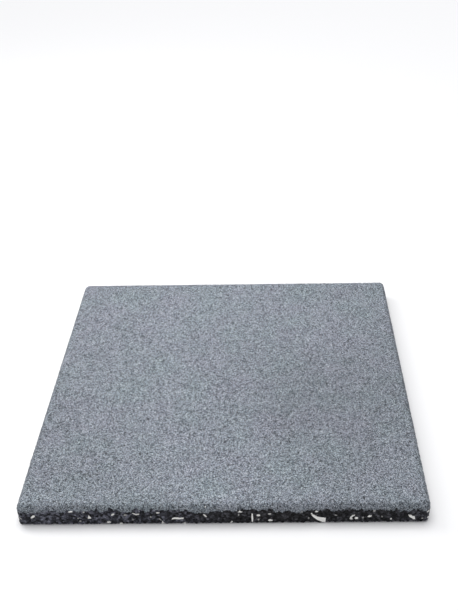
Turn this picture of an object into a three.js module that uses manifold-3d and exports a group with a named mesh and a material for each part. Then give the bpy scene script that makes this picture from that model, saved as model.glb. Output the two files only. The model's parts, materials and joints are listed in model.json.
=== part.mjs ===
// A pool underlay tile of bonded rubber granulate: a grey wear layer pressed onto a black base layer.
// Millimetres, +Z up. The origin is the middle of the underside, which rests on the ground.

import * as THREE from "three";
import { mergeVertices } from "three/addons/utils/BufferGeometryUtils.js";
import Module from "manifold-3d";

// Driving dimensions of the tile
const TILE_LENGTH = 500; // along X
const TILE_WIDTH = 500; // along Y
const BASE_THICKNESS = 22; // coarse black granulate
const WEAR_THICKNESS = 8; // fine grey granulate

// The bevel runs all round the top face, and its lower edge stays above the base layer.
const BEVEL_WIDTH = 5; // in plan
const BEVEL_HEIGHT = 5;

// The plan corner is rounded about the same centre at every height.
const TOP_CORNER_RADIUS = 2; // of the top face, inside the bevel
const CORNER_SEGMENTS = 8;

// Overhang of the cutting block past the piece that it trims
const CUT_MARGIN = 10;

const SIDE_CORNER_RADIUS = TOP_CORNER_RADIUS + BEVEL_WIDTH;

const greyGranulate = new THREE.MeshStandardMaterial({
  color: 0x8d939e,
  roughness: 0.92,
  metalness: 0,
});
const blackGranulate = new THREE.MeshStandardMaterial({
  color: 0x2b2a2e,
  roughness: 0.88,
  metalness: 0,
});

const wasm = await Module();
wasm.setup();

// The tile seen from above: a square with rounded corners.
function tileOutline() {
  const centreX = TILE_LENGTH / 2 - SIDE_CORNER_RADIUS;
  const centreY = TILE_WIDTH / 2 - SIDE_CORNER_RADIUS;
  const quarter = Math.PI / 2;
  const corners = [
    [centreX, centreY],
    [-centreX, centreY],
    [-centreX, -centreY],
    [centreX, -centreY],
  ];
  const outline = new THREE.Shape();
  corners.forEach(([x, y], turn) => {
    outline.absarc(x, y, SIDE_CORNER_RADIUS, turn * quarter, (turn + 1) * quarter);
  });
  outline.closePath();
  return outline;
}

function solidOf(geometry) {
  const bare = geometry.clone();
  bare.deleteAttribute("normal");
  bare.deleteAttribute("uv");
  const merged = mergeVertices(bare);
  return new wasm.Manifold(
    new wasm.Mesh({
      numProp: 3,
      vertProperties: merged.attributes.position.array,
      triVerts: new Uint32Array(merged.index.array),
    }),
  );
}

function geometryOf(solid) {
  const mesh = solid.getMesh();
  const geometry = new THREE.BufferGeometry();
  geometry.setAttribute("position", new THREE.BufferAttribute(mesh.vertProperties, 3));
  geometry.setIndex(new THREE.BufferAttribute(mesh.triVerts, 1));
  geometry.computeVertexNormals();
  return geometry;
}

// The black layer is a plain slab that takes the whole outline.
function baseLayer() {
  const slab = new THREE.ExtrudeGeometry(tileOutline(), {
    depth: BASE_THICKNESS,
    bevelEnabled: false,
    curveSegments: CORNER_SEGMENTS,
  });
  const mesh = new THREE.Mesh(slab, blackGranulate);
  mesh.name = "base_layer";
  return mesh;
}

// The grey layer is bevelled round its top face. It is made tall, then trimmed flat where it meets the base.
function wearLayer() {
  const straightHeight = WEAR_THICKNESS - BEVEL_HEIGHT + CUT_MARGIN;
  const tall = new THREE.ExtrudeGeometry(tileOutline(), {
    depth: straightHeight,
    bevelEnabled: true,
    bevelThickness: BEVEL_HEIGHT,
    bevelSize: BEVEL_WIDTH,
    bevelOffset: -BEVEL_WIDTH,
    bevelSegments: 1,
    curveSegments: CORNER_SEGMENTS,
  });
  // The extrusion starts at zero and its upper bevel ends BEVEL_HEIGHT above the straight part.
  tall.translate(0, 0, WEAR_THICKNESS - BEVEL_HEIGHT - straightHeight);

  const blockHeight = CUT_MARGIN + 2 * BEVEL_HEIGHT;
  const block = new THREE.BoxGeometry(
    TILE_LENGTH + 2 * CUT_MARGIN,
    TILE_WIDTH + 2 * CUT_MARGIN,
    blockHeight,
  );
  block.translate(0, 0, -blockHeight / 2);

  const trimmed = solidOf(tall).subtract(solidOf(block));
  const mesh = new THREE.Mesh(geometryOf(trimmed), greyGranulate);
  mesh.name = "wear_layer";
  mesh.position.z = BASE_THICKNESS;
  return mesh;
}

const tile = new THREE.Group();
tile.name = "pool_underlay_tile";
tile.add(baseLayer(), wearLayer());

export default tile;
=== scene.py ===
"""The looks of a square rubber granulate tile: a bluish grey wear layer on a black base with pale flecks.

The tile is pressed in a mould, so its faces are a mosaic of crushed granules. One lattice of the mould's
inside becomes that mosaic by Geometry Nodes, and is parted along whole granules at the joint between the
two layers. Lengths are in metres.
"""

import json
import math
import random

import bmesh
import bpy
import numpy as np
from mathutils import Matrix, Vector

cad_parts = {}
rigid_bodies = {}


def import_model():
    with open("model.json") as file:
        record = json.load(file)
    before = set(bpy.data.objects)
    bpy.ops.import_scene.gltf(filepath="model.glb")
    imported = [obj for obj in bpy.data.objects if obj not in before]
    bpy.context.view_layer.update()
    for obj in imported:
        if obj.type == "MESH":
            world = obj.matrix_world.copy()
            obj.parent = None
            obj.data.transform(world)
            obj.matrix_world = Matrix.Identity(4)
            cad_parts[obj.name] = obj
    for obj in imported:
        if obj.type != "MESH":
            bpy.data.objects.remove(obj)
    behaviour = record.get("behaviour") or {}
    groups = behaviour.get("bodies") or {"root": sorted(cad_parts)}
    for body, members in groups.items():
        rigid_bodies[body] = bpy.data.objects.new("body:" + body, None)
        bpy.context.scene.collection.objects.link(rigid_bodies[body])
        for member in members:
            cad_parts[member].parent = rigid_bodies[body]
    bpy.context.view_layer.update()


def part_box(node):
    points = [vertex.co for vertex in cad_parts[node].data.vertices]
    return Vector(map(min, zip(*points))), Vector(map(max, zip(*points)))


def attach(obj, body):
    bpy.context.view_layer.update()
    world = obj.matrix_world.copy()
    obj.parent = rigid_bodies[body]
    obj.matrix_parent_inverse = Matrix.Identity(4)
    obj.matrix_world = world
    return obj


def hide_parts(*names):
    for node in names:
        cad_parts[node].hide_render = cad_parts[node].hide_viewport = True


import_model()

MM = 0.001
TINY = 0.001 * MM  # places closer than this are the same

# The tile's sizes, from the highest corner of each layer in the frame
tile_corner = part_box("wear_layer")[1]
joint_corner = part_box("base_layer")[1]
HALF_LENGTH = tile_corner.x
HALF_WIDTH = tile_corner.y
THICKNESS = tile_corner.z
JOINT_HEIGHT = joint_corner.z

# The bevel and the rounded corners, as the frame's layers have them
BEVEL = 5 * MM
TOP_CORNER_RADIUS = 2 * MM
SIDE_CORNER_RADIUS = TOP_CORNER_RADIUS + BEVEL

# The mould's lattice. One granule forms round each point, 3 mm from the next, as coarse as the base
# layer's real ones. The wear layer's real ones are finer, and the grit in its material shows those.
COLUMNS = 168
SIDE_COURSES = 9
BEVEL_COURSES = 2
SKIN = 0.5 * MM  # the granules sink between their peaks, so the lattice's sides stand this far out
UNDERSIDE_LIFT = 0.35 * MM  # the granules underneath reach down from here to the mould's floor
FOOT_DROP = 0.3 * MM  # the lowest course is pressed flat on the mould's floor

# Granules, the same in both layers
SLIDE = 1.25 * MM
CORNER_DEPTH = 0.1 * MM
CHUNK_SHARE = 0.58  # how much of a coarse granule's width its flat top takes
LOWEST_PEAK = -0.3  # as a share of the crown height
UNDERSIDE_LEAN = -0.6  # a granule whose normal points further down than this lies underneath
WAVINESS = 0.45 * MM
WAVE_LENGTH = 70 * MM
GRANULATE_SEED = 11

# The stages of a granule's points, counted from 0 on its outline
ON_FLAT_TOP = 1.0
ON_PEAK = 2.0
MERGE_REACH = 0.01 * MM  # the corners of a top that has shrunk to its peak become one point

# Granules, layer by layer. The higher the pore rarity, the fewer pores are deep.
WEAR_GRANULES = {
    "Wear layer": True,
    "Coarse": False,
    "Pore rarity": 6.0,
    "Pore depth": 1.0 * MM,
    "Crown height": 0.15 * MM,
    "Pit depth": 0.8 * MM,
    "Pit share": 0.02,
}
BASE_GRANULES = {
    "Wear layer": False,
    "Coarse": True,
    "Pore rarity": 3.0,
    "Pore depth": 1.5 * MM,
    "Crown height": 0.5 * MM,
    "Pit depth": 1.4 * MM,
    "Pit share": 0.06,
}

# The line between the layers wanders in long waves and, from granule to granule, in short ones
LONG_WANDER = 8 * MM
LONG_WANDER_LENGTH = 80 * MM
LONG_WANDER_SEED = 76.9
SHORT_WANDER = 6.5 * MM
SHORT_WANDER_LENGTH = 7 * MM
SHORT_WANDER_SEED = 141.6
LIP_WIDTH = 6 * MM  # from the ragged line in to the flat joint face

# How far under the top face the painted shade of the bevel and sides begins, and where it is as dark as it
# gets
RIM_START = 0.6 * MM
RIM_FULL = 1.6 * MM

# Rubber
RUBBER_IOR = 1.52
TORN_SIZE = 0.5 * MM  # the roughness of a torn face
TORN_DEPTH = 0.15 * MM
OPEN_PORE = 0.6  # a corner that has sunk this far towards the deepest gets the full painted pore shade

# Soil on the flecks
SOIL_SIZE = 1.5 * MM
SOIL_DEPTH = 0.2 * MM
SOIL_SHARE = 0.3

# Noise runs from 0 to 1, and seldom leaves the range from low to high
NOISE_LOW = 0.3
NOISE_MIDDLE = 0.5
NOISE_HIGH = 0.7

# The map that colours are baked on. The outside of a layer takes most of its width.
OUTSIDE_SHARE = 0.95
JOINT_SHARE = 0.8  # of the strip that is left
MAP_MARGIN = 0.004
MAP_SLACK = 1.001  # keeps the outermost point just inside the map

# Pale flecks
FLECK_THICKNESS = 2 * MM
FLECK_PROUD = 0.85 * MM
FLECK_CLEARANCE = 0.05 * MM  # underneath, they are pressed flush with the mould's floor
FLECKS_PER_SIDE = 46
FLECKS_UNDERNEATH = 420
FLECK_SEED = 5

# A flake's sections from its back to its face: a share of the outline, and a depth in thicknesses
FLECK_SECTIONS = ((0.85, -1.0), (1.0, -0.15), (0.92, 0.0))

# Chance flecks
SMALLEST_FLECK = 1.8 * MM
FLECK_GROWTH = 6.5 * MM  # the largest is longer than the smallest by this
FLECK_RARITY = 2.6  # the higher, the fewer long ones
FLECK_SLIMNESS = (0.35, 0.8)  # width as a share of length
FLECK_TILT = 35  # degrees, the spread of their turns
CHANCE_FORMS = ("chunk", "chunk", "shred", "shred", "wedge", "vee", "butterfly")  # the common ones twice
CHANCE_PALENESS = (0.35, 0.5, 0.8, 0.95, 1.0)
EDGE_REACH = 0.97  # flecks keep off the corners
HEIGHT_REACH = (0.06, 0.92)  # as shares of the joint's height
UNDERSIDE_REACH = 0.96

# Outlines of flecks of unit size, seen from outside
FLECK_FORMS = {
    "bar": (
        (-0.5, -0.45), (-0.42, 0.3), (-0.2, 0.5), (0.3, 0.28),
        (0.5, 0.35), (0.47, -0.2), (0.1, -0.3), (-0.35, -0.15),
    ),
    "butterfly": (
        (-0.5, 0.5), (-0.08, 0.46), (0.08, 0.23), (0.42, 0.11),
        (0.5, -0.5), (0.26, -0.5), (0.01, -0.21), (-0.32, 0.04),
    ),
    "chunk": ((-0.5, -0.1), (-0.25, 0.45), (0.2, 0.5), (0.5, 0.12), (0.35, -0.42), (-0.2, -0.5)),
    "hook": (
        (0.5, 0.5), (0.0, 0.38), (-0.4, 0.05), (-0.5, -0.3), (-0.2, -0.5),
        (0.15, -0.38), (-0.1, -0.1), (0.1, 0.15), (0.45, 0.32),
    ),
    "shard": (
        (-0.49, 0.5), (-0.3, 0.36), (-0.09, 0.19), (0.19, 0.1), (0.5, 0.05),
        (0.48, -0.5), (0.25, -0.42), (-0.09, -0.2), (-0.33, 0.08), (-0.48, 0.33),
    ),
    "shred": ((-0.5, -0.2), (-0.38, 0.32), (0.1, 0.5), (0.5, 0.25), (0.42, -0.3), (-0.1, -0.5)),
    "vee": ((-0.5, 0.5), (-0.25, -0.1), (0.1, -0.5), (0.5, -0.1), (0.46, 0.3), (0.1, 0.1), (-0.18, 0.25)),
    "wedge": ((-0.5, -0.5), (-0.1, 0.5), (0.1, 0.1), (0.5, -0.3), (0.42, -0.5)),
}

# On the front edge: place along it, height, length and width in mm, turn in degrees, form, paleness
FRONT_FLECKS = (
    (-245.8, 11, 4, 1.5, -35, "shred", 0.5),
    (-230.5, 14, 7, 3, 38, "shred", 1.0),
    (-183.7, 22.5, 5.5, 2, 8, "shred", 0.95),
    (-175.8, 11, 2.2, 2, 0, "chunk", 0.4),
    (-173.8, 6, 3, 2.2, 0, "chunk", 0.4),
    (-167.8, 21.5, 2.5, 1.5, -45, "shred", 0.6),
    (-161.9, 13.5, 4.5, 6, 0, "wedge", 1.0),
    (-139, 4, 5.5, 2.6, 0, "shred", 0.85),
    (-133, 17, 5, 2.3, 32, "shred", 1.0),
    (-124.1, 1.5, 4, 2.5, 0, "chunk", 0.9),
    (-118.1, 16, 4.5, 3, 0, "chunk", 0.35),
    (-109.2, 8, 3, 2.5, 0, "chunk", 0.3),
    (-105.2, 17.5, 9, 3, -4, "vee", 0.85),
    (-87.3, 12.5, 2.2, 2.2, 0, "chunk", 0.5),
    (-78.3, 19.5, 4.5, 1.8, 0, "shred", 0.9),
    (-76.3, 8, 5, 1.3, -55, "shred", 0.45),
    (-73.3, 3.2, 4, 4.5, 0, "wedge", 0.8),
    (-54.9, 9.5, 15, 4, 0, "bar", 0.95),
    (-46.5, 1.5, 2.5, 2.4, 0, "chunk", 0.8),
    (-21.6, 14, 6, 2, -52, "shred", 1.0),
    (-20.6, 26.8, 1.5, 1.5, 0, "chunk", 1.0),
    (10.2, 2.5, 4, 2, 35, "shred", 0.8),
    (19.2, 15, 4, 1.8, 90, "shred", 0.4),
    (21.1, 20.8, 5.5, 3, 0, "wedge", 1.0),
    (35.6, 9.6, 16.5, 2.4, 90, "shred", 1.0),
    (43, 13.9, 5, 3.2, 5, "chunk", 0.85),
    (43, 6.5, 2.6, 2.6, 0, "chunk", 0.5),
    (56.5, 16.2, 4, 2, 0, "shred", 0.7),
    (57.4, 5.2, 6, 3, 0, "shred", 0.95),
    (95.2, 19.5, 2.2, 2, 0, "chunk", 0.35),
    (103.7, 8.5, 2.5, 2.2, 90, "chunk", 0.35),
    (107.2, 16, 2, 2, 0, "chunk", 0.9),
    (113.1, 19.6, 4, 2, 5, "shred", 0.95),
    (115.8, 8, 17.5, 15, 0, "shard", 1.0),
    (136.5, 13.3, 3.5, 1.5, -25, "shred", 0.45),
    (156.4, 9.5, 6.5, 9, 0, "hook", 0.75),
    (161.4, 8, 4.6, 3.8, 0, "chunk", 1.0),
    (169.3, 8.5, 3, 2.5, 0, "chunk", 0.35),
    (177.3, 11, 5.6, 3.2, 18, "shred", 0.9),
    (182.3, 20, 3, 2.6, 0, "chunk", 0.5),
    (192.2, 10, 2.2, 2, 0, "chunk", 0.35),
    (203.2, 6, 2.4, 2.2, 0, "chunk", 0.9),
    (228, 9, 9, 8, 0, "butterfly", 1.0),
    (240.9, 6.7, 2.5, 2, 0, "chunk", 0.4),
    (247, 17.3, 4, 3, 0, "chunk", 0.7),
    (248, 6, 3.2, 3.2, 0, "chunk", 0.95),
)

# Camera, fitted to the photographed edges
FRAME_WIDTH = 458
FRAME_HEIGHT = 610
FOCAL_PIXELS = 862.7
CENTRE_SHIFT_PIXELS = 28.4  # the photograph's own centre lies this far right of the middle of its frame
SENSOR = 36.0
CAMERA_PLACE = Vector((0.0597, -0.9744, 0.8044))
CAMERA_PITCH = math.radians(33.816)
CAMERA_YAW = math.radians(-0.996)
CAMERA_ROLL = math.radians(-1.198)

# Light
SKY_STRENGTH = 0.33
HIGH_LIGHT_STRENGTH = 2.26
HIGH_LIGHT_SPREAD = math.radians(50)
HIGH_LIGHT_PLACE = (-0.08, 0.27, 1.3)
SOFT_PANEL_POWER = 6.1
SOFT_PANEL_SIZE = 0.9
SOFT_PANEL_PLACE = (-0.8, 0.55, 1.0)
FLOOR_REACH = 12.0


def linear(hex_colour):
    """An sRGB colour such as "#8d939e" as linear RGBA."""
    parts = [int(hex_colour[k:k + 2], 16) / 255 for k in (1, 3, 5)]
    return [p / 12.92 if p <= 0.04045 else ((p + 0.055) / 1.055) ** 2.4 for p in parts] + [1.0]


def add(tree, kind, feeds=(), **settings):
    """Adds a node with its settings. feeds gives its inputs, by name or in order.

    An input is fed by a value, by an output, or by a node, which stands for its first output.
    """
    node = tree.nodes.new(kind)
    for name, value in settings.items():
        setattr(node, name, value)
    sockets = [s for s in node.inputs if s.enabled]
    pairs = feeds.items() if isinstance(feeds, dict) else enumerate(feeds)
    for key, value in pairs:
        socket = sockets[key] if isinstance(key, int) else next(s for s in sockets if s.name == key)
        if isinstance(value, bpy.types.Node):
            value = next(s for s in value.outputs if s.enabled)
        if isinstance(value, bpy.types.NodeSocket):
            tree.links.new(value, socket)
        else:
            socket.default_value = value
    return node


def new_tree(name, inputs):
    """An empty Geometry Nodes tree with these named inputs, and the sockets that give them."""
    tree = bpy.data.node_groups.new(name, "GeometryNodeTree")
    tree.interface.new_socket("Geometry", in_out="OUTPUT", socket_type="NodeSocketGeometry")
    tree.interface.new_socket("Geometry", in_out="INPUT", socket_type="NodeSocketGeometry")
    for title, kind, value in inputs:
        socket = tree.interface.new_socket(title, in_out="INPUT", socket_type="NodeSocket" + kind)
        if value is not None:
            socket.default_value = value
    return tree, add(tree, "NodeGroupInput").outputs


def finish_tree(tree, given, geometry):
    """Ends a tree as every one ends here: instances made real, one material."""
    real = add(tree, "GeometryNodeRealizeInstances", (geometry,))
    painted = add(tree, "GeometryNodeSetMaterial", {"Geometry": real, "Material": given["Material"]})
    add(tree, "NodeGroupOutput", (painted,))


def evaluated(name, mesh, tree, values):
    """A plain mesh object, made by running the tree on a mesh."""
    source = bpy.data.objects.new(name + "_source", mesh)
    bpy.context.scene.collection.objects.link(source)
    modifier = source.modifiers.new("nodes", "NODES")
    modifier.node_group = tree
    identifiers = {s.name: s.identifier for s in tree.interface.items_tree if s.in_out == "INPUT"}
    for title, value in values.items():
        modifier[identifiers[title]] = value
    graph = bpy.context.evaluated_depsgraph_get()
    result = bpy.data.meshes.new_from_object(source.evaluated_get(graph))
    bpy.data.objects.remove(source)
    result.name = name
    piece = bpy.data.objects.new(name, result)
    bpy.context.scene.collection.objects.link(piece)
    return piece


# The mould


def rounded(x, y, half_x, half_y, radius):
    """A point of a rectangle with square corners, moved to the like rectangle with round ones."""
    over_x = abs(x) - (half_x - radius)
    over_y = abs(y) - (half_y - radius)
    if over_x <= 0 or over_y <= 0:
        return x, y
    reach = max(over_x, over_y)
    turn = math.pi / 4 * min(over_x, over_y) / reach
    longer, shorter = reach * math.cos(turn), reach * math.sin(turn)
    over_x, over_y = (longer, shorter) if over_x >= over_y else (shorter, longer)
    return (
        math.copysign(half_x - radius + over_x, x),
        math.copysign(half_y - radius + over_y, y),
    )


def mould_courses():
    """(inset, height) of each ring of lattice points, from the top edge down to the bottom edge."""
    bevel = [
        (BEVEL * (1 - k / BEVEL_COURSES), THICKNESS - BEVEL * k / BEVEL_COURSES)
        for k in range(BEVEL_COURSES)
    ]
    foot = THICKNESS - BEVEL
    side = [(0.0, foot * (1 - k / SIDE_COURSES)) for k in range(SIDE_COURSES + 1)]
    return bevel + side


def lattice_rim():
    """The outermost lattice points, as (column, row), in order all the way round."""
    n = COLUMNS
    front_and_right = [(k, 0) for k in range(n)] + [(n, k) for k in range(n)]
    return front_and_right + [(n - k, n) for k in range(n)] + [(0, n - k) for k in range(n)]


def mould_lattice():
    """The inside of the mould as a closed lattice, fine on top and sides and twice as coarse underneath."""
    courses = mould_courses()
    last = len(courses) - 1
    n = COLUMNS
    around = lattice_rim()
    rim = set(around)
    points, index = [], {}

    def point(i, j, course):
        """The number of a lattice point, which is made when it is first asked for."""
        key = (i, j, course)
        if key not in index:
            inset, height = courses[course]
            half_x, half_y = HALF_LENGTH - inset + SKIN, HALF_WIDTH - inset + SKIN
            x = half_x * (2 * i / n - 1)
            y = half_y * (2 * j / n - 1)
            x, y = rounded(x, y, half_x, half_y, SIDE_CORNER_RADIUS - inset + SKIN)
            if course == last:
                height = -FOOT_DROP if (i, j) in rim else UNDERSIDE_LIFT
            index[key] = len(points)
            points.append((x, y, height))
        return index[key]

    faces = [
        [point(i, j, 0), point(i + 1, j, 0), point(i + 1, j + 1, 0), point(i, j + 1, 0)]
        for i in range(n)
        for j in range(n)
    ]
    for course in range(last):
        for here, there in zip(around, around[1:] + around[:1]):
            lower = [point(*here, course + 1), point(*there, course + 1)]
            upper = [point(*there, course), point(*here, course)]
            faces.append(lower + upper)
    for i in range(0, n, 2):
        for j in range(0, n, 2):
            outline = [(i, j), (i, j + 1), (i, j + 2), (i + 1, j + 2)]
            outline += [(i + 2, j + 2), (i + 2, j + 1), (i + 2, j), (i + 1, j)]
            kept = [p for p in outline if p in rim or (p[0] % 2 == 0 and p[1] % 2 == 0)]
            faces.append([point(*p, last) for p in kept])
    mesh = bpy.data.meshes.new("mould_lattice")
    mesh.from_pydata(points, [], faces)
    return mesh


# The granules, in steps that each take the geometry and hand it on


def slide_points(tree, given, geometry):
    """Every lattice point slides in its face, so that no rows are left, and the faces wave a little."""
    normal = add(tree, "GeometryNodeInputNormal")
    throw = add(
        tree, "FunctionNodeRandomValue",
        {"Min": (-1, -1, -1), "Max": (1, 1, 1), "Seed": given["Seed"]}, data_type="FLOAT_VECTOR",
    )
    outward = add(tree, "ShaderNodeVectorMath", (throw, normal), operation="DOT_PRODUCT").outputs["Value"]
    lost = add(tree, "ShaderNodeVectorMath", {"Vector": normal, "Scale": outward}, operation="SCALE")
    inside = add(tree, "ShaderNodeVectorMath", (throw, lost), operation="SUBTRACT")
    reach = {"Vector": inside, "Scale": given["Slide"]}
    slide = add(tree, "ShaderNodeVectorMath", reach, operation="SCALE")
    rate = add(tree, "ShaderNodeMath", (1.0, given["Wave length"]), operation="DIVIDE")
    wave = add(tree, "ShaderNodeTexNoise", {"Scale": rate, "Detail": 1.0})
    height = add(tree, "ShaderNodeMath", (wave, NOISE_MIDDLE), operation="SUBTRACT")
    height = add(tree, "ShaderNodeMath", (height, given["Waviness"]), operation="MULTIPLY")
    swell = add(tree, "ShaderNodeVectorMath", {"Vector": normal, "Scale": height}, operation="SCALE")
    offset = add(tree, "ShaderNodeVectorMath", (slide, swell), operation="ADD")
    return add(tree, "GeometryNodeSetPosition", {"Geometry": geometry, "Offset": offset})


def cut_cells(tree, given, geometry):
    """The cells round the points are the granules. Each has a tone of its own."""
    split = add(tree, "GeometryNodeTriangulate", {"Mesh": geometry}, quad_method="SHORTEST_DIAGONAL")
    cells = add(tree, "GeometryNodeDualMesh", {"Mesh": split})
    tone = add(tree, "FunctionNodeRandomValue", {"Seed": given["Seed"]}, data_type="FLOAT")
    return add(
        tree, "GeometryNodeStoreNamedAttribute",
        {"Geometry": cells, "Name": "granule_tone", "Value": tone},
        data_type="FLOAT", domain="FACE",
    )


def mark_wear_layer(tree, given, geometry):
    """A granule belongs to the wear layer if it lies above the wandering line of the joint."""
    position = add(tree, "GeometryNodeInputPosition")
    parts = add(tree, "ShaderNodeSeparateXYZ", (position,))
    flat = add(tree, "ShaderNodeCombineXYZ", {"X": parts.outputs["X"], "Y": parts.outputs["Y"]})
    line = given["Joint height"]
    for size in ("Long wander", "Short wander"):
        rate = add(tree, "ShaderNodeMath", (1.0, given[size + " length"]), operation="DIVIDE")
        wave = add(
            tree, "ShaderNodeTexNoise",
            {"Vector": flat, "W": given[size + " seed"], "Scale": rate, "Detail": 1.0},
            noise_dimensions="4D",
        )
        wander = add(tree, "ShaderNodeMath", (wave, NOISE_MIDDLE), operation="SUBTRACT")
        wander = add(tree, "ShaderNodeMath", (wander, given[size]), operation="MULTIPLY")
        # The noise keeps within a half of its middle, so the full wander is twice this
        line = add(tree, "ShaderNodeMath", (wander, 2.0, line), operation="MULTIPLY_ADD")
    above = add(
        tree, "FunctionNodeCompare", (parts.outputs["Z"], line),
        data_type="FLOAT", operation="GREATER_THAN",
    )
    return add(
        tree, "GeometryNodeStoreNamedAttribute",
        {"Geometry": geometry, "Name": "in_wear_layer", "Value": above},
        data_type="BOOLEAN", domain="FACE",
    )


def push_out(tree, geometry, amount, selection=True):
    """Moves the selected points along their normals."""
    normal = add(tree, "GeometryNodeInputNormal")
    offset = add(tree, "ShaderNodeVectorMath", {"Vector": normal, "Scale": amount}, operation="SCALE")
    feeds = {"Geometry": geometry, "Selection": selection, "Offset": offset}
    return add(tree, "GeometryNodeSetPosition", feeds)


def sink_corners(tree, given, geometry):
    """The corners where granules meet sink in: most of them a little, and a few into deep pores."""
    spread = {"Min": 0.0, "Max": 1.0, "Seed": given["Seed"]}
    chance = add(tree, "FunctionNodeRandomValue", spread, data_type="FLOAT")
    pore = add(tree, "ShaderNodeMath", (chance, given["Pore rarity"]), operation="POWER")
    # The pore depth also sets the painted pore shade in the materials
    known = add(
        tree, "GeometryNodeStoreNamedAttribute", {"Geometry": geometry, "Name": "pore", "Value": pore},
        data_type="FLOAT", domain="POINT",
    )
    depths = (pore, given["Pore depth"], given["Corner depth"])
    sink = add(tree, "ShaderNodeMath", depths, operation="MULTIPLY_ADD")
    sink = add(tree, "ShaderNodeMath", (sink, -1.0), operation="MULTIPLY")
    return push_out(tree, known, sink)


def drawn_in(tree, geometry, selection, scale, stage):
    """Gives each selected cell a smaller top inside its outline. Returns the geometry and the tops."""
    grown = add(
        tree, "GeometryNodeExtrudeMesh",
        {"Mesh": geometry, "Selection": selection, "Offset Scale": 0.0, "Individual": True}, mode="FACES",
    )
    tops = grown.outputs["Top"]
    for name, value in (("pore", 0.0), ("stage", stage)):
        grown = add(
            tree, "GeometryNodeStoreNamedAttribute",
            {"Geometry": grown, "Selection": tops, "Name": name, "Value": value},
            data_type="FLOAT", domain="POINT",
        )
    feeds = {"Geometry": grown, "Selection": tops, "Scale": scale}
    return add(tree, "GeometryNodeScaleElements", feeds, domain="FACE"), tops


def flatten_coarse(tree, given, geometry):
    """Coarse granules get a flat, uneven top. Underneath, the mould's floor has left them whole."""
    normal = add(tree, "ShaderNodeSeparateXYZ", (add(tree, "GeometryNodeInputNormal"),))
    beside = add(
        tree, "FunctionNodeCompare", (normal.outputs["Z"], UNDERSIDE_LEAN),
        data_type="FLOAT", operation="GREATER_THAN",
    )
    coarse = add(tree, "FunctionNodeBooleanMath", (beside, given["Coarse"]), operation="AND")
    fine = add(tree, "FunctionNodeBooleanMath", (coarse,), operation="NOT")
    known = add(
        tree, "GeometryNodeStoreNamedAttribute", {"Geometry": geometry, "Name": "fine", "Value": fine},
        data_type="BOOLEAN", domain="FACE",
    )
    chunky, tops = drawn_in(tree, known, coarse, given["Chunk share"], ON_FLAT_TOP)
    spread = {"Min": 0.0, "Max": 1.0, "Seed": given["Seed"]}
    uneven = add(tree, "FunctionNodeRandomValue", spread, data_type="FLOAT")
    rise = add(tree, "ShaderNodeMath", (uneven, given["Crown height"]), operation="MULTIPLY")
    return push_out(tree, chunky, rise, tops), tops


def peak_height(tree, given):
    """How far a granule's peak stands out. Here and there a granule has broken out and left a pit."""
    spread = {"Min": LOWEST_PEAK, "Max": 1.0, "Seed": given["Seed"]}
    share = add(tree, "FunctionNodeRandomValue", spread, data_type="FLOAT")
    rise = add(tree, "ShaderNodeMath", (share, given["Crown height"]), operation="MULTIPLY")
    fall = add(tree, "ShaderNodeMath", (given["Pit depth"], -1.0), operation="MULTIPLY")
    other_seed = add(tree, "ShaderNodeMath", (given["Seed"], 1.0), operation="ADD")
    odds = {"Probability": given["Pit share"], "Seed": other_seed}
    pit = add(tree, "FunctionNodeRandomValue", odds, data_type="BOOLEAN")
    return add(tree, "GeometryNodeSwitch", {"Switch": pit, "False": rise, "True": fall}, input_type="FLOAT")


def crown_granules(tree, given, geometry):
    """Every granule rises to a peak from its outline, or from its flat top if it is coarse."""
    chunky, tops = flatten_coarse(tree, given, geometry)
    was_fine = add(tree, "GeometryNodeInputNamedAttribute", {"Name": "fine"}, data_type="BOOLEAN")
    whole = add(tree, "FunctionNodeBooleanMath", (tops, was_fine), operation="OR")
    pointed, _ = drawn_in(tree, chunky, whole, 0.0, ON_PEAK)
    merged = add(tree, "GeometryNodeMergeByDistance", {"Geometry": pointed, "Distance": MERGE_REACH})
    stage = add(tree, "GeometryNodeInputNamedAttribute", {"Name": "stage"}, data_type="FLOAT")
    at_peak = add(
        tree, "FunctionNodeCompare", (stage, (ON_FLAT_TOP + ON_PEAK) / 2),
        data_type="FLOAT", operation="GREATER_THAN",
    )
    return push_out(tree, merged, peak_height(tree, given), at_peak)


def press_flat(tree, geometry):
    """The mould's floor keeps every granule above it."""
    parts = add(tree, "ShaderNodeSeparateXYZ", (add(tree, "GeometryNodeInputPosition"),))
    height = add(tree, "ShaderNodeMath", (parts.outputs["Z"], 0.0), operation="MAXIMUM")
    place = add(tree, "ShaderNodeCombineXYZ", (parts.outputs["X"], parts.outputs["Y"], height))
    return add(tree, "GeometryNodeSetPosition", {"Geometry": geometry, "Position": place})


def keep_one_layer(tree, given, geometry):
    """Takes the other layer's granules away."""
    layer = add(tree, "GeometryNodeInputNamedAttribute", {"Name": "in_wear_layer"}, data_type="BOOLEAN")
    other = add(tree, "FunctionNodeBooleanMath", (layer, given["Wear layer"]), operation="XOR")
    feeds = {"Geometry": geometry, "Selection": other}
    kept = add(tree, "GeometryNodeDeleteGeometry", feeds, domain="FACE")
    for name in ("in_wear_layer", "fine", "stage"):
        kept = add(tree, "GeometryNodeRemoveAttribute", {"Geometry": kept, "Name": name})
    return add(tree, "GeometryNodeSetShadeSmooth", {"Geometry": kept, "Shade Smooth": False})


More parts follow.
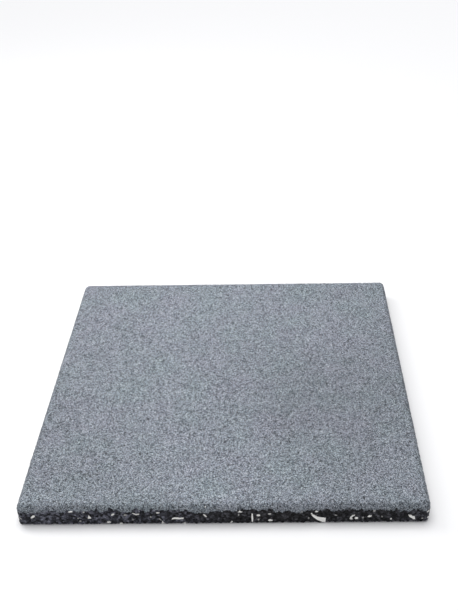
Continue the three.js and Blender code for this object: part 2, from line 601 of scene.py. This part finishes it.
def granulate_tree():
    """Geometry Nodes that turn the mould's lattice into crushed granules."""
    tree, given = new_tree("granulate", (
        ("Slide", "Float", SLIDE),
        ("Waviness", "Float", WAVINESS),
        ("Wave length", "Float", WAVE_LENGTH),
        ("Corner depth", "Float", CORNER_DEPTH),
        ("Pore rarity", "Float", None),
        ("Pore depth", "Float", None),
        ("Crown height", "Float", None),
        ("Chunk share", "Float", CHUNK_SHARE),
        ("Pit depth", "Float", None),
        ("Pit share", "Float", None),
        ("Joint height", "Float", JOINT_HEIGHT),
        ("Long wander", "Float", LONG_WANDER),
        ("Long wander length", "Float", LONG_WANDER_LENGTH),
        ("Long wander seed", "Float", LONG_WANDER_SEED),
        ("Short wander", "Float", SHORT_WANDER),
        ("Short wander length", "Float", SHORT_WANDER_LENGTH),
        ("Short wander seed", "Float", SHORT_WANDER_SEED),
        ("Seed", "Int", GRANULATE_SEED),
        ("Wear layer", "Bool", False),
        ("Coarse", "Bool", False),
        ("Material", "Material", None),
    ))
    geometry = given["Geometry"]
    for step in (slide_points, cut_cells, mark_wear_layer, sink_corners, crown_granules):
        geometry = step(tree, given, geometry)
    geometry = keep_one_layer(tree, given, press_flat(tree, geometry))
    finish_tree(tree, given, geometry)
    return tree


def close_joint(piece):
    """Closes the layer where it was parted: a ragged lip that runs in to the flat joint face."""
    mesh = bmesh.new()
    mesh.from_mesh(piece.data)
    rim = [e for e in mesh.edges if e.is_boundary]
    grown = bmesh.ops.extrude_edge_only(mesh, edges=rim)["geom"]
    for vertex in [g for g in grown if isinstance(g, bmesh.types.BMVert)]:
        vertex.co.x *= 1 - LIP_WIDTH / HALF_LENGTH
        vertex.co.y *= 1 - LIP_WIDTH / HALF_WIDTH
        vertex.co.z = JOINT_HEIGHT
    loop = [g for g in grown if isinstance(g, bmesh.types.BMEdge) and g.is_boundary]
    bmesh.ops.edgeloop_fill(mesh, edges=loop)
    bmesh.ops.recalc_face_normals(mesh, faces=mesh.faces)
    mesh.to_mesh(piece.data)
    mesh.free()


def folded_out(place, face_height, bevel):
    """A layer's points laid flat: its flat face in the middle, with bevel and sides folded out round it."""
    core = np.array([HALF_LENGTH - SIDE_CORNER_RADIUS, HALF_WIDTH - SIDE_CORNER_RADIUS])
    nearest = np.clip(place[:, :2], -core, core)
    away = place[:, :2] - nearest
    flat = np.linalg.norm(away, axis=1)
    drop = np.abs(place[:, 2] - face_height)
    edge = SIDE_CORNER_RADIUS - bevel
    folded = edge + bevel * np.clip(drop / max(bevel, MM), 0, 1) + drop
    reach = np.where((flat > edge) & (drop > MM), folded, np.minimum(flat, SIDE_CORNER_RADIUS))
    return nearest + away / np.maximum(flat, TINY)[:, None] * reach[:, None]


def lay_out_map(piece, face_height, bevel):
    """A map for a layer's colours.

    The layer's outside takes most of it. Its flat face lies at face_height, with a bevel of this width
    beside it. The hidden joint face is a small patch in a corner of the map.
    """
    mesh = piece.data
    place = np.empty(len(mesh.vertices) * 3)
    mesh.vertices.foreach_get("co", place)
    place = place.reshape(-1, 3)
    laid = folded_out(place, face_height, bevel)
    half = np.abs(laid).max() * MAP_SLACK
    outside = 1 - OUTSIDE_SHARE * (0.5 - laid / (2 * half))
    patch_size = (1 - OUTSIDE_SHARE) * JOINT_SHARE
    patch = (place[:, :2] / (2 * HALF_LENGTH) + 0.5) * patch_size + MAP_MARGIN
    corner_vertex = np.empty(len(mesh.loops), dtype=np.int64)
    mesh.loops.foreach_get("vertex_index", corner_vertex)
    on_joint = np.abs(place[:, 2] - JOINT_HEIGHT) < TINY
    inner = on_joint & (np.abs(place[:, :2]).max(axis=1) < HALF_LENGTH - LIP_WIDTH / 2)
    hidden = np.zeros(len(mesh.loops), dtype=bool)
    for face in mesh.polygons:
        span = slice(face.loop_start, face.loop_start + face.loop_total)
        hidden[span] = inner[corner_vertex[span]].any()
    uv = np.where(hidden[:, None], patch[corner_vertex], outside[corner_vertex])
    layer = mesh.uv_layers.new(name="OFBake")
    layer.uv.foreach_set("vector", uv.astype(np.float32).ravel())


# The pale flecks


def fleck_form(name, outline):
    """A flake of unit size: widest just under its face, with the face at height zero."""
    shape = bmesh.new()
    rows = []
    for scale, height in FLECK_SECTIONS:
        rows.append([shape.verts.new((x * scale, y * scale, height)) for x, y in outline])
    around = len(outline)
    for low, high in zip(rows, rows[1:]):
        for k in range(around):
            after = (k + 1) % around
            shape.faces.new((low[k], low[after], high[after], high[k]))
    shape.faces.new(rows[-1])
    shape.faces.new(rows[0][::-1])
    bmesh.ops.recalc_face_normals(shape, faces=shape.faces)
    caps = [f for f in shape.faces if len(f.verts) > 4]
    bmesh.ops.triangulate(shape, faces=caps)
    mesh = bpy.data.meshes.new(name)
    shape.to_mesh(mesh)
    shape.free()
    return bpy.data.objects.new(name, mesh)


def edge_place(side, along, height):
    """The place and the outward and sideways directions of a point on one of the four edges."""
    half_along, half_out = (HALF_LENGTH, HALF_WIDTH) if side % 2 == 0 else (HALF_WIDTH, HALF_LENGTH)
    inset = max(0.0, height - (THICKNESS - BEVEL))
    past = abs(along) - (half_along - SIDE_CORNER_RADIUS)
    radius = SIDE_CORNER_RADIUS - inset
    lean = math.asin(min(1.0, max(0.0, past / radius)))
    out = half_out - SIDE_CORNER_RADIUS + radius * math.cos(lean)
    turned = Matrix.Rotation(math.pi / 2 * side, 3, "Z")
    lean = math.copysign(lean, along)
    rise = 1.0 if inset else 0.0  # the bevel is at 45 degrees
    normal = Vector((math.sin(lean), -math.cos(lean), rise)).normalized()
    sideways = Vector((math.cos(lean), math.sin(lean), 0.0))
    return turned @ Vector((along, -out, height)), turned @ normal, turned @ sideways


def fleck_rows():
    """Every fleck's place, turn, size, form and paleness: chosen in front, and by chance elsewhere."""
    draw = random.Random(FLECK_SEED)
    names = sorted(FLECK_FORMS)
    rows = []

    def put(place, normal, sideways, length, width, degrees, form, pale, proud):
        """Adds a fleck whose face stands this proud of the place."""
        upright = normal.cross(sideways)
        facing = Matrix((sideways, upright, normal)).transposed()
        turned = facing @ Matrix.Rotation(math.radians(degrees), 3, "Z")
        size = Vector((length, width, FLECK_THICKNESS))
        rows.append((place + normal * proud, turned.to_euler(), size, names.index(form), pale))

    def chance_fleck():
        """Length, width, turn, form and paleness, by chance."""
        length = SMALLEST_FLECK + FLECK_GROWTH * draw.random() ** FLECK_RARITY
        width = length * draw.uniform(*FLECK_SLIMNESS)
        form = draw.choice(CHANCE_FORMS)
        pale = draw.choice(CHANCE_PALENESS)
        return length, width, draw.gauss(0, FLECK_TILT), form, pale

    for along, height, length, width, degrees, form, pale in FRONT_FLECKS:
        where = edge_place(0, along * MM, height * MM)
        put(*where, length * MM, width * MM, degrees, form, pale, FLECK_PROUD)
    for side in (1, 2, 3):
        for _ in range(FLECKS_PER_SIDE):
            along = draw.uniform(-EDGE_REACH, EDGE_REACH) * HALF_LENGTH
            height = draw.uniform(*HEIGHT_REACH) * JOINT_HEIGHT
            put(*edge_place(side, along, height), *chance_fleck(), FLECK_PROUD)
    down, sideways = Vector((0, 0, -1)), Vector((1, 0, 0))
    for _ in range(FLECKS_UNDERNEATH):
        x, y = (draw.uniform(-UNDERSIDE_REACH, UNDERSIDE_REACH) * h for h in (HALF_LENGTH, HALF_WIDTH))
        put(Vector((x, y, 0)), down, sideways, *chance_fleck(), -FLECK_CLEARANCE)
    return rows


def fleck_tree(forms):
    """Geometry Nodes that set a flake of the right form, size and turn on every point."""
    tree, given = new_tree("pale_flecks", (("Material", "Material", None),))
    flakes = add(
        tree, "GeometryNodeCollectionInfo",
        {"Collection": forms, "Separate Children": True, "Reset Children": True},
    )
    form = add(tree, "GeometryNodeInputNamedAttribute", {"Name": "form"}, data_type="INT")
    turn = add(tree, "GeometryNodeInputNamedAttribute", {"Name": "turn"}, data_type="FLOAT_VECTOR")
    size = add(tree, "GeometryNodeInputNamedAttribute", {"Name": "size"}, data_type="FLOAT_VECTOR")
    turned = add(tree, "FunctionNodeEulerToRotation", (turn,))
    placed = add(tree, "GeometryNodeInstanceOnPoints", {
        "Points": given["Geometry"], "Instance": flakes, "Pick Instance": True,
        "Instance Index": form, "Rotation": turned, "Scale": size,
    })
    finish_tree(tree, given, placed)
    return tree


def make_flecks(paint):
    """All the pale flecks, joined in one mesh."""
    forms = bpy.data.collections.new("fleck_forms")
    for name in sorted(FLECK_FORMS):
        forms.objects.link(fleck_form(name, FLECK_FORMS[name]))
    rows = fleck_rows()
    points = bpy.data.meshes.new("fleck_points")
    points.from_pydata([r[0] for r in rows], [], [])
    for name, kind, column, field in (
        ("turn", "FLOAT_VECTOR", 1, "vector"), ("size", "FLOAT_VECTOR", 2, "vector"),
        ("form", "INT", 3, "value"), ("paleness", "FLOAT", 4, "value"),
    ):
        values = points.attributes.new(name, kind, "POINT").data
        for item, row in zip(values, rows):
            setattr(item, field, row[column])
    flecks = evaluated("pale_flecks", points, fleck_tree(forms), {"Material": paint})
    for flake in list(forms.objects):
        bpy.data.objects.remove(flake)
    bpy.data.collections.remove(forms)
    return flecks


# Materials


def new_material(name):
    """An empty material with a place to read patterns from, and a shader to feed."""
    material = bpy.data.materials.new(name)
    material.use_nodes = True
    tree = material.node_tree
    tree.nodes.clear()
    return material, tree, add(tree, "ShaderNodeTexCoord").outputs["Object"]


def drifted_with_painted_shade(tree, place, colour, drifts):
    """Tints a colour slowly across the tile. A drift is its length, its seed and the two tints.
    Drifts over the whole tile are painted shade.
    """
    for length, seed, one_tint, other_tint in drifts:
        slow = add(
            tree, "ShaderNodeTexNoise", {"Vector": place, "W": seed, "Scale": 1 / length, "Detail": 1.0},
            noise_dimensions="4D",
        )
        slow = add(
            tree, "ShaderNodeMapRange", {"Value": slow, "From Min": NOISE_LOW, "From Max": NOISE_HIGH},
        )
        tints = {"Factor": slow, "A": linear(one_tint), "B": linear(other_tint)}
        tint = add(tree, "ShaderNodeMix", tints, data_type="RGBA")
        both = {"Factor": 1.0, "A": colour, "B": tint}
        colour = add(tree, "ShaderNodeMix", both, data_type="RGBA", blend_type="MULTIPLY")
    return colour


def painted_shade_of_pores_and_rim(tree, place, painted_pore_shade, painted_rim_shade):
    """Painted shade: less light in the pores, and less on the bevel and sides below the top face."""
    pore = add(tree, "ShaderNodeAttribute", attribute_name="pore").outputs["Fac"]
    # Painted shade in the pores: the deeper a corner has sunk, the darker it is painted
    shade_in_pores = add(
        tree, "ShaderNodeMapRange",
        {"Value": pore, "From Max": OPEN_PORE, "To Min": 1.0, "To Max": painted_pore_shade},
    )
    # Painted shade on the bevel and sides, below the top face
    height = add(tree, "ShaderNodeSeparateXYZ", (place,)).outputs["Z"]
    shade_on_rim = add(tree, "ShaderNodeMapRange", {
        "Value": height, "From Min": THICKNESS - RIM_FULL, "From Max": THICKNESS - RIM_START,
        "To Min": painted_rim_shade, "To Max": 1.0,
    })
    return add(tree, "ShaderNodeMath", (shade_in_pores, shade_on_rim), operation="MULTIPLY")


def crushed_rubber(name, shades, roughness, specular, grit_size, grit_share, painted_pore_shade, painted_rim_shade, drifts):
    """Granules pressed in a binder. Each granule has a tone, and the grit on it has tones of its own.

    The shades run from dark to light. The pore and rim shades are painted shade: the shares of light
    that an open pore and the bevel and sides below the top face keep. The drifts are slow changes across
    the tile, and those over the whole tile are painted shade.
    """
    material, tree, place = new_material(name)
    tone = add(tree, "ShaderNodeAttribute", attribute_name="granule_tone").outputs["Fac"]
    grit = add(tree, "ShaderNodeTexVoronoi", {"Vector": place, "Scale": 1 / grit_size})
    grit_tone = add(tree, "ShaderNodeSeparateColor", (grit.outputs["Color"],))
    mixed = add(
        tree, "ShaderNodeMix", {"Factor": grit_share, "A": tone, "B": grit_tone}, data_type="FLOAT",
    )
    ramp = add(tree, "ShaderNodeValToRGB", (mixed,))
    elements = ramp.color_ramp.elements
    darkest, lightest = 0.05, 0.95  # the places of the outer shades on the ramp
    elements[0].position, elements[0].color = darkest, linear(shades[0])
    elements[1].position, elements[1].color = lightest, linear(shades[-1])
    for k, shade in enumerate(shades[1:-1], 1):
        position = darkest + (lightest - darkest) * k / (len(shades) - 1)
        elements.new(position).color = linear(shade)
    # The drifted colour times the painted shade of pores, bevel and sides
    colour = {
        "Factor": 1.0, "A": drifted_with_painted_shade(tree, place, ramp, drifts),
        "B": painted_shade_of_pores_and_rim(tree, place, painted_pore_shade, painted_rim_shade),
    }
    colour_with_painted_shade = add(tree, "ShaderNodeMix", colour, data_type="RGBA", blend_type="MULTIPLY")

    # Each grain of grit is a low dome with a torn face
    dome = add(tree, "ShaderNodeMath", (grit.outputs["Distance"], -1.0), operation="MULTIPLY")
    bump = add(tree, "ShaderNodeBump", {"Height": dome, "Strength": 0.7, "Distance": 0.5 * grit_size})
    torn = add(tree, "ShaderNodeTexNoise", {"Vector": place, "Scale": 1 / TORN_SIZE, "Detail": 2.0})
    bump = add(
        tree, "ShaderNodeBump",
        {"Height": torn, "Strength": 0.5, "Distance": TORN_DEPTH, "Normal": bump},
    )
    shader = add(tree, "ShaderNodeBsdfPrincipled", {
        "Base Color": colour_with_painted_shade, "Roughness": roughness, "IOR": RUBBER_IOR,
        "Specular IOR Level": specular, "Normal": bump,
    })
    add(tree, "ShaderNodeOutputMaterial", (shader,))
    return material


def grey_granulate():
    """Fine rubber granules in a grey pigmented binder.

    To the eye it is a matt, fine grained blue-grey, with a darker speck of painted shade wherever a pore
    is open. Fine granulate is ground to 0.5 to 1.5 mm, and the grit here is as fine as that. The colour
    drifts a little over a few centimetres. Over the whole tile a painted shade makes it lighter on the
    left and darker on the right, and painted shade darkens the bevel and sides below the top face.
    """
    return crushed_rubber(
        "grey_pigmented_rubber_granulate", ("#13161a", "#464c54", "#79838e", "#a5aeb8", "#dae0e6"),
        # Painted shade: darker open pores, and a darker bevel and sides below the top face
        roughness=0.75, specular=0.5, grit_size=0.6 * MM, grit_share=0.95, painted_pore_shade=0.3, painted_rim_shade=0.82,
        # The 300 mm drift is painted shade: lighter on the left, darker on the right
        drifts=((45 * MM, 0.0, "#fafffd", "#fffbff"), (300 * MM, 203.3, "#ffffff", "#e9e9e9")),
    )


def black_granulate():
    """Coarse granules of ground tyres, black through and through, in a clear binder.

    To the eye it is a soft black whose granules catch light one by one. Its torn faces and open pores
    leave little gloss. The granules are 2 to 4 mm across, each with a few facets of 1.5 mm, and they
    lie in duller and brighter clumps. Painted shade darkens the open pores, and over the whole tile it
    makes the black lighter and bluer on the left and darker on the right.
    """
    return crushed_rubber(
        "black_tyre_rubber_granulate", ("#151519", "#3a3b40", "#6c6d75", "#a9aab3"),
        # Painted shade: darker open pores; the rim is left as it is
        roughness=0.7, specular=0.2, grit_size=1.5 * MM, grit_share=0.3, painted_pore_shade=0.15, painted_rim_shade=1.0,
        # The 300 mm drift is painted shade: lighter and bluer on the left, darker on the right
        drifts=((10 * MM, 0.0, "#b4b4b4", "#ffffff"), (300 * MM, 396.6, "#f3f5ff", "#82807d")),
    )


def fleck_material():
    """Off-white sidewall rubber, ground with the rest: matt, a little soiled, some of it greyer."""
    material, tree, place = new_material("off_white_sidewall_rubber")
    pale = add(tree, "ShaderNodeAttribute", attribute_name="paleness").outputs["Fac"]
    soil = add(tree, "ShaderNodeTexNoise", {"Vector": place, "Scale": 1 / SOIL_SIZE, "Detail": 3.0})
    level = add(tree, "ShaderNodeMath", (soil, SOIL_SHARE, pale), operation="MULTIPLY_ADD")
    level = add(tree, "ShaderNodeMath", (level, SOIL_SHARE / 2), operation="SUBTRACT")
    ramp = add(tree, "ShaderNodeValToRGB", (level,))
    elements = ramp.color_ramp.elements
    elements[0].position, elements[0].color = 0.0, linear("#38373a")
    elements[1].position, elements[1].color = 0.9, linear("#fbfaf6")
    elements.new(0.5).color = linear("#aeadab")
    bump = add(tree, "ShaderNodeBump", {"Height": soil, "Strength": 0.4, "Distance": SOIL_DEPTH})
    shader = add(
        tree, "ShaderNodeBsdfPrincipled",
        {"Base Color": ramp, "Roughness": 0.75, "IOR": RUBBER_IOR, "Normal": bump},
    )
    add(tree, "ShaderNodeOutputMaterial", (shader,))
    return material


# Stage


def make_floor():
    """A plain pale floor."""
    mesh = bpy.data.meshes.new("floor")
    corners = [(x * FLOOR_REACH, y * FLOOR_REACH, 0) for x, y in ((-1, -1), (1, -1), (1, 1), (-1, 1))]
    mesh.from_pydata(corners, [], [(0, 1, 2, 3)])
    floor = bpy.data.objects.new("floor", mesh)
    bpy.context.scene.collection.objects.link(floor)
    paint = bpy.data.materials.new("pale_floor")
    paint.use_nodes = True
    shader = paint.node_tree.nodes["Principled BSDF"]
    shader.inputs["Base Color"].default_value = linear("#f6f6f6")
    shader.inputs["Roughness"].default_value = 0.9
    shader.inputs["Specular IOR Level"].default_value = 0.0
    mesh.materials.append(paint)


def make_lights():
    """Soft daylight: a pale sky all round, a broad light high above, a soft panel behind on the left."""
    world = bpy.data.worlds.new("studio")
    world.use_nodes = True
    background = world.node_tree.nodes["Background"]
    background.inputs["Color"].default_value = linear("#f8f9ff")
    background.inputs["Strength"].default_value = SKY_STRENGTH
    bpy.context.scene.world = world

    high = bpy.data.lights.new("high_light", "SUN")
    high.energy = HIGH_LIGHT_STRENGTH
    high.angle = HIGH_LIGHT_SPREAD
    panel = bpy.data.lights.new("soft_panel", "AREA")
    panel.energy = SOFT_PANEL_POWER
    panel.shape = "DISK"
    panel.size = SOFT_PANEL_SIZE
    for data, place in ((high, HIGH_LIGHT_PLACE), (panel, SOFT_PANEL_PLACE)):
        lamp = bpy.data.objects.new(data.name, data)
        lamp.location = place
        lamp.rotation_euler = (-lamp.location).to_track_quat("-Z", "Y").to_euler()
        bpy.context.scene.collection.objects.link(lamp)
    bpy.context.scene.view_settings.view_transform = "Standard"


def make_camera():
    """The photograph's viewpoint."""
    forward = Vector((
        math.sin(CAMERA_YAW) * math.cos(CAMERA_PITCH),
        math.cos(CAMERA_YAW) * math.cos(CAMERA_PITCH),
        -math.sin(CAMERA_PITCH),
    ))
    level = Vector((math.cos(CAMERA_YAW), -math.sin(CAMERA_YAW), 0))
    upward = level.cross(forward)
    right = math.cos(CAMERA_ROLL) * level + math.sin(CAMERA_ROLL) * upward
    up = math.cos(CAMERA_ROLL) * upward - math.sin(CAMERA_ROLL) * level
    turn = Matrix((right, up, -forward)).transposed()
    data = bpy.data.cameras.new("camera")
    data.sensor_width = SENSOR
    data.lens = FOCAL_PIXELS / max(FRAME_WIDTH, FRAME_HEIGHT) * SENSOR
    data.shift_x = -CENTRE_SHIFT_PIXELS / max(FRAME_WIDTH, FRAME_HEIGHT)
    camera = bpy.data.objects.new("camera", data)
    camera.matrix_world = Matrix.Translation(CAMERA_PLACE) @ turn.to_4x4()
    bpy.context.scene.collection.objects.link(camera)
    bpy.context.scene.camera = camera


make_floor()
make_lights()
make_camera()

lattice = mould_lattice()
granulate = granulate_tree()

wear_layer = evaluated(
    "wear_layer_granules", lattice.copy(), granulate, {**WEAR_GRANULES, "Material": grey_granulate()},
)
close_joint(wear_layer)
lay_out_map(wear_layer, face_height=THICKNESS, bevel=BEVEL)
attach(wear_layer, "root")
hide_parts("wear_layer")

base_layer = evaluated(
    "base_layer_granules", lattice.copy(), granulate, {**BASE_GRANULES, "Material": black_granulate()},
)
close_joint(base_layer)
lay_out_map(base_layer, face_height=0.0, bevel=0.0)
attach(base_layer, "root")
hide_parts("base_layer")

flecks = make_flecks(fleck_material())
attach(flecks, "root")
